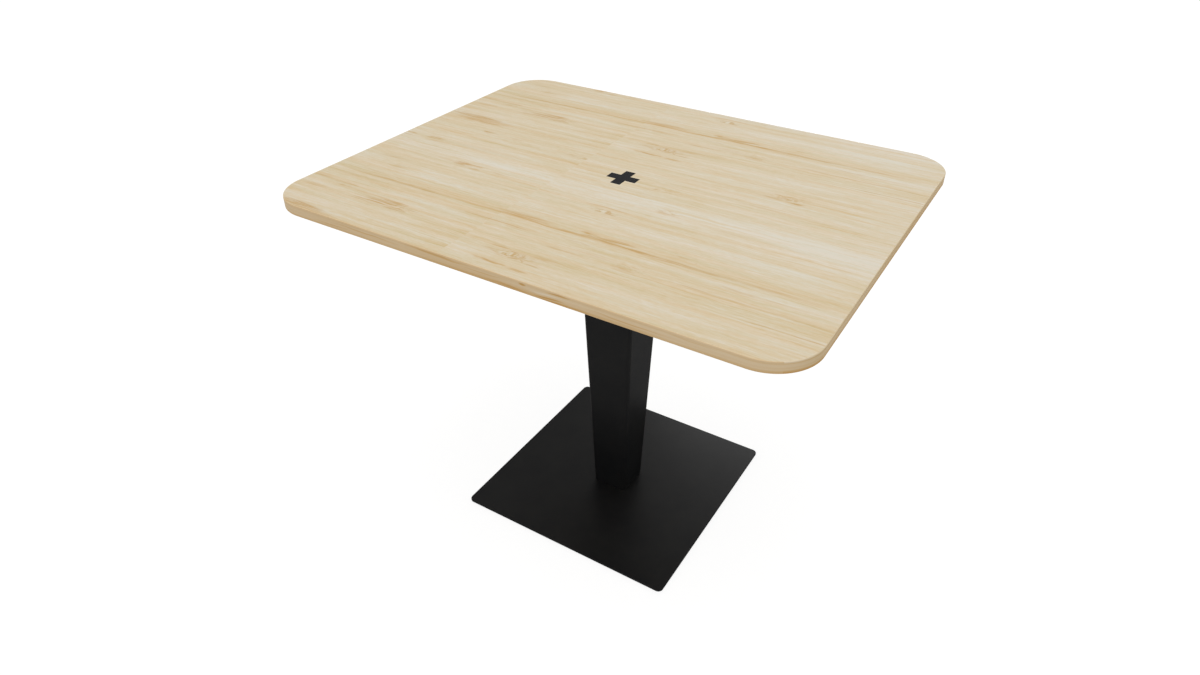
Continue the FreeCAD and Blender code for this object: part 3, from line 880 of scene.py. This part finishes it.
def makeCircuitBoard(s):
    # Green mask over straight copper tracks
    finish, tree, shader = newFinish("circuitBoardGreen")
    distance = addNode(
        tree, "ShaderNodeTexVoronoi", {"Vector": place(tree)[0], "Scale": s["scale"]}, "Distance",
        distance="MANHATTAN", feature="F1")
    track = ease(tree, distance, *s["fieldEdge"])
    fill(tree, shader, {
        "Base Color": spread(tree, track, [(0.0, linear(*s["field"])), (1.0, linear(*s["track"]))]),
        "Roughness": ease(tree, track, 0.0, 1.0, *s["roughness"]),
        "Normal": bump(tree, track, *s["bump"]),
    })
    return finish


finishes = {slot: makePlain(*row) for slot, row in plainFinishes.items()}
finishes["pale_wood"] = makeWoodFace(woodSettings)
finishes["black_powder_coat"] = makePowderCoat(powderSettings)
finishes["coil_copper"] = makeCoil(coilSettings)
finishes["circuit_board"] = makeCircuitBoard(circuitSettings)
woodEdge = makeWoodEdge(edgeSettings)
for entry in frame["record"]["subparts"]:
    node = cadNodes.get(entry["node"])
    if node:
        for holder in node.material_slots:
            holder.material = finishes[entry["material_slot"]]
print("finishes made:", len(finishes) + 1)


# Board with the seat of the mark, the charger's pocket and the holes for the inserts

boardSettings = {
    "cornerRadius": 0.080,
    "cornerSteps": 36,
    "edgeRound": 0.0015,
    "edgeSteps": 4,
    "markSize": 0.060,
    "markArm": 0.020,
    "markDepth": 0.0012,
    "markGap": 0.0001,
    "markRound": 0.00015,
    "markSteps": 2,
    "pocketRadius": 0.0386,
    "pocketGap": 0.0003,  # over the charger's housing
    "pocketSides": 96,
    "rebateRadius": 0.0493,
    "rebateDepth": 0.0025,
    "insertHoleRadius": 0.0051,
    "insertHoleDepth": 0.0135,
    "insertHoleSides": 40,
    "insertReach": 0.135,
    "screwHoleRadius": 0.00185,
    "screwHoleDepth": 0.0123,
    "screwHoleSides": 24,
    "screwRing": 0.045,
    "screwAngles": (30, 150, 270),
    "overrun": 0.005,
    "edgeStart": 0.8,  # the edge's finish begins past this share of the way from the middle
    "edgeSlope": 0.95,  # on faces whose normal has less than this along Z
}


def addPlus(name, size, arm, low, high):
    # A middle block whose four sides are drawn out into arms
    half = arm / 2
    plus = addBlock(name, (-half, -half, low), (half, half, high))
    reach = (size - arm) / 2
    for x, y in ((1, 0), (0, 1), (-1, 0), (0, -1)):
        pick(plus, "FACE", lambda face: same(face.center.x, x * half) and same(face.center.y, y * half)
             and same(face.normal.x, x, modelling["aligned"])
             and same(face.normal.y, y, modelling["aligned"]))
        bpy.ops.mesh.extrude_region_move(TRANSFORM_OT_translate={"value": (x * reach, y * reach, 0)})
        leaveEditing()
    return plus


def makeBoard(s):
    low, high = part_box("table_top")
    board = roundedPlate("tableBoard", low, high, s)
    under = low.z
    cutAway(board, addPlus(
        "markSeat", s["markSize"] + 2 * s["markGap"], s["markArm"] + 2 * s["markGap"],
        high.z - s["markDepth"], high.z + s["overrun"]))
    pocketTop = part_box("charger_housing")[1].z + s["pocketGap"]
    cutAway(board, turnedSolid("pocket", 0, 0, [
        (under - s["overrun"], s["rebateRadius"]), (under + s["rebateDepth"], s["rebateRadius"]),
        (under + s["rebateDepth"], s["pocketRadius"]), (pocketTop, s["pocketRadius"])],
        s["pocketSides"]))
    for x, y in squarePlaces(-s["insertReach"], 0, s["insertReach"]):
        cutAway(board, addCylinder(
            "insertHole", s["insertHoleRadius"], under - s["overrun"], under + s["insertHoleDepth"],
            x, y, s["insertHoleSides"]))
    for angle in s["screwAngles"]:
        turn = math.radians(angle)
        cutAway(board, addCylinder(
            "screwHole", s["screwHoleRadius"], under, under + s["screwHoleDepth"],
            s["screwRing"] * math.cos(turn), s["screwRing"] * math.sin(turn), s["screwHoleSides"]))
    board.data.materials.clear()
    board.data.materials.append(finishes["pale_wood"])
    board.data.materials.append(woodEdge)
    for face in board.data.polygons:
        outer = max(abs(face.center.x) / high.x, abs(face.center.y) / high.y)
        onEdge = outer > s["edgeStart"] and abs(face.normal.z) < s["edgeSlope"]
        face.material_index = 1 if onEdge else 0
    smoothShading(board)
    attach(board, "root")
    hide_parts("table_top")


makeBoard(boardSettings)
print("board made")


def makeMark(s):
    low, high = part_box("charging_mark")
    mark = addPlus("markInlay", s["markSize"], s["markArm"], low.z, high.z)
    # Upper edges of the arms, without those of the middle block, which lie nearer than an arm's width
    pick(mark, "EDGE", lambda a, b: same(a.z, high.z) and same(b.z, high.z)
         and max(abs(a.x), abs(a.y), abs(b.x), abs(b.y)) > s["markArm"])
    bpy.ops.mesh.bevel(offset=s["markRound"], segments=s["markSteps"], affect="EDGES")
    leaveEditing()
    mark.data.materials.append(finishes["black_inlay"])
    smoothShading(mark)
    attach(mark, "root")
    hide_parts("charging_mark")


makeMark(boardSettings)
print("mark made")


# Tapered column

columnSettings = {
    "footSide": 0.080,
    "headSide": 0.128,
    "cornerRadius": 0.008,
    "cornerSteps": 8,
    "wall": 0.003,
    "inletRadius": 0.0056,
    "inletSides": 48,
    "inletLevel": 0.060,
    "inletSpan": (-0.012, 0.006),  # the hole is cut from this far inside the face to this far outside
}


def makeColumn(s):
    low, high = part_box("column_shell")
    half = s["headSide"] / 2
    column = addBlock("columnTube", (-half, -half, low.z), (half, half, high.z))
    share = s["footSide"] / s["headSide"]
    pick(column, "FACE", lambda face: face.normal.z < -modelling["flat"])
    bpy.ops.transform.resize(value=(share, share, 1), center_override=(0, 0, low.z))
    leaveEditing()
    pick(column, "EDGE", lambda a, b: not same(a.z, b.z))
    bpy.ops.mesh.bevel(offset=s["cornerRadius"], segments=s["cornerSteps"], affect="EDGES")
    leaveEditing()
    pick(column, "FACE", lambda face: abs(face.normal.z) > modelling["flat"])
    bpy.ops.mesh.inset(thickness=s["wall"])
    bpy.ops.mesh.bridge_edge_loops()
    leaveEditing()

    # The inlet's hole, square to the back wall, which leans
    height = high.z - low.z
    widening = s["headSide"] - s["footSide"]
    hole = addCylinder("inletHole", s["inletRadius"], *s["inletSpan"], sides=s["inletSides"])
    hole.rotation_euler.x = -math.pi / 2 - math.atan(widening / 2 / height)
    rise = (s["inletLevel"] - low.z) / height
    hole.location = (0, (s["footSide"] + widening * rise) / 2, s["inletLevel"])
    activate(hole)
    bpy.ops.object.transform_apply(location=True, rotation=True, scale=True)
    cutAway(column, hole)
    column.data.materials.append(finishes["black_powder_coat"])
    smoothShading(column)
    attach(column, "root")
    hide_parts("column_shell")


makeColumn(columnSettings)
print("column made")


# Base plate and top plate, with the seats of their flat-head screws

plateSettings = {
    "base": {
        "name": "basePlate", "node": "base_plate", "cornerRadius": 0.011, "cornerSteps": 12,
        "edgeRound": 0.0008, "edgeSteps": 3,
    },
    "top": {
        "name": "topPlate", "node": "top_plate", "cornerRadius": 0.015, "cornerSteps": 12,
        "edgeRound": 0.0006, "edgeSteps": 3,
    },
    "headRadius": 0.0081,
    "screwHoleRadius": 0.0041,
    "screwHoleReach": 0.02,  # how far the shaft's cutter runs past the seat
    "headRecess": 0.0002,
    "footScrewReach": 0.024,
    "flangeScrewReach": 0.044,
    "boltHoleRadius": 0.0032,
    "boltReach": 0.135,
    "openingRadius": 0.042,
    "openingSides": 96,
    "padReach": 0.212,
    "padHoleRadius": 0.0041,
    "padHoleDepth": 0.0031,
    "holeSides": 32,
    "overrun": 0.002,
}


def startPlate(s):
    low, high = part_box(s["node"])
    return roundedPlate(s["name"], low, high, s), low.z, high.z


def finishPlate(plate, s):
    plate.data.materials.append(finishes["black_powder_coat"])
    smoothShading(plate)
    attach(plate, "root")
    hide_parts(s["node"])


def screwSeat(s, x, y, face, inwards):
    # Mouth, cone and shaft of a flat-head screw's hole; inwards is +1 or -1 along Z
    seat = face + inwards * s["headRecess"]
    coneEnd = seat + inwards * (s["headRadius"] - s["screwHoleRadius"])
    return turnedSolid("screwSeat", x, y, [
        (face - inwards * s["overrun"], s["headRadius"]), (seat, s["headRadius"]),
        (coneEnd, s["screwHoleRadius"]), (seat + inwards * s["screwHoleReach"], s["screwHoleRadius"])])


def makePlates(s):
    base, low, _ = startPlate(s["base"])
    for x, y in squarePlaces(-s["footScrewReach"], s["footScrewReach"]):
        cutAway(base, screwSeat(s, x, y, low, 1))
    for x, y in squarePlaces(-s["padReach"], s["padReach"]):
        cutAway(base, addCylinder(
            "padHole", s["padHoleRadius"], low - s["overrun"], low + s["padHoleDepth"],
            x, y, s["holeSides"]))
    finishPlate(base, s["base"])

    top, low, high = startPlate(s["top"])
    through = (low - s["overrun"], high + s["overrun"])
    cutAway(top, addCylinder("opening", s["openingRadius"], *through, sides=s["openingSides"]))
    for x, y in squarePlaces(-s["boltReach"], 0, s["boltReach"]):
        cutAway(top, addCylinder("boltHole", s["boltHoleRadius"], *through, x, y, s["holeSides"]))
    for x, y in squarePlaces(-s["flangeScrewReach"], s["flangeScrewReach"]):
        cutAway(top, screwSeat(s, x, y, high, -1))
    finishPlate(top, s["top"])


makePlates(plateSettings)
print("plates made")


# Plain pale floor and soft studio light

stageSettings = {
    "floorSize": 60.0,
    "floorShade": 0.80,
    "glow": 0.86,  # share of white that the camera sees whatever the shadow
    "catch": 0.22,  # share that the shadow darkens
    "glossShare": 0.42,  # how much of that glow a gloss gets, so that it shows the shadow too
    "worldLight": 0.68,
    "lamps": (
        # name, place, aims at, width, height, watts, whether it lights or only shows in glosses
        ("softboxAbove", (0.3, -0.3, 4.2), (0.0, 0.0, 0.6), 3.2, 3.2, 54.5, True),
        ("glossStrip", (-0.02, 1.20, 0.52), (0.0, 0.0, 0.05), 0.9, 0.45, 10.5, False),
    ),
}


def seenDirectly(tree, glossShare=1.0):
    # 1 where the camera or a clear material looks at it, and glossShare where a gloss does
    path = tree.nodes.new("ShaderNodeLightPath").outputs
    share = calc(tree, "MULTIPLY_ADD", path["Is Glossy Ray"], glossShare, path["Is Camera Ray"])
    return calc(tree, "ADD", share, path["Is Transmission Ray"], clamp=True)


def setSurface(tree, kind, share, plain, seen):
    # The output shows the plain shader, and where it is seen directly the other one
    mix = addNode(tree, "ShaderNodeMixShader", (share, plain, seen))
    output = tree.nodes.new(kind)
    tree.links.new(mix, output.inputs["Surface"])


def makeFloor(s):
    deselect()
    bpy.ops.mesh.primitive_plane_add(size=s["floorSize"])
    floor = settle("studioFloor")
    material = bpy.data.materials.new("floorPaper")
    tree = emptyTree(material)
    plain, catch = (
        addNode(tree, "ShaderNodeBsdfDiffuse", {"Color": grey(s[name])})
        for name in ("floorShade", "catch"))
    glow = addNode(tree, "ShaderNodeEmission", {"Strength": s["glow"]})
    seen = addNode(tree, "ShaderNodeAddShader", (catch, glow))
    setSurface(tree, "ShaderNodeOutputMaterial", seenDirectly(tree, s["glossShare"]), plain, seen)
    floor.data.materials.append(material)


def makeWorld(s):
    world = bpy.data.worlds.new("studio")
    bpy.context.scene.world = world
    tree = emptyTree(world)
    light, white = (
        addNode(tree, "ShaderNodeBackground", {"Color": grey(1.0), "Strength": strength})
        for strength in (s["worldLight"], 1.0))
    setSurface(tree, "ShaderNodeOutputWorld", seenDirectly(tree), light, white)


def addLamp(name, at, target, width, height, watts, lights):
    aim = (Vector(target) - Vector(at)).to_track_quat("-Z", "Y").to_euler()
    bpy.ops.object.light_add(type="AREA", location=at, rotation=aim)
    lamp = bpy.context.object
    lamp.name = name
    lamp.data.shape = "RECTANGLE"
    lamp.data.size = width
    lamp.data.size_y = height
    lamp.data.energy = watts
    lamp.visible_camera = False
    lamp.visible_diffuse = lights


makeFloor(stageSettings)
makeWorld(stageSettings)
for row in stageSettings["lamps"]:
    addLamp(*row)
print("stage made")
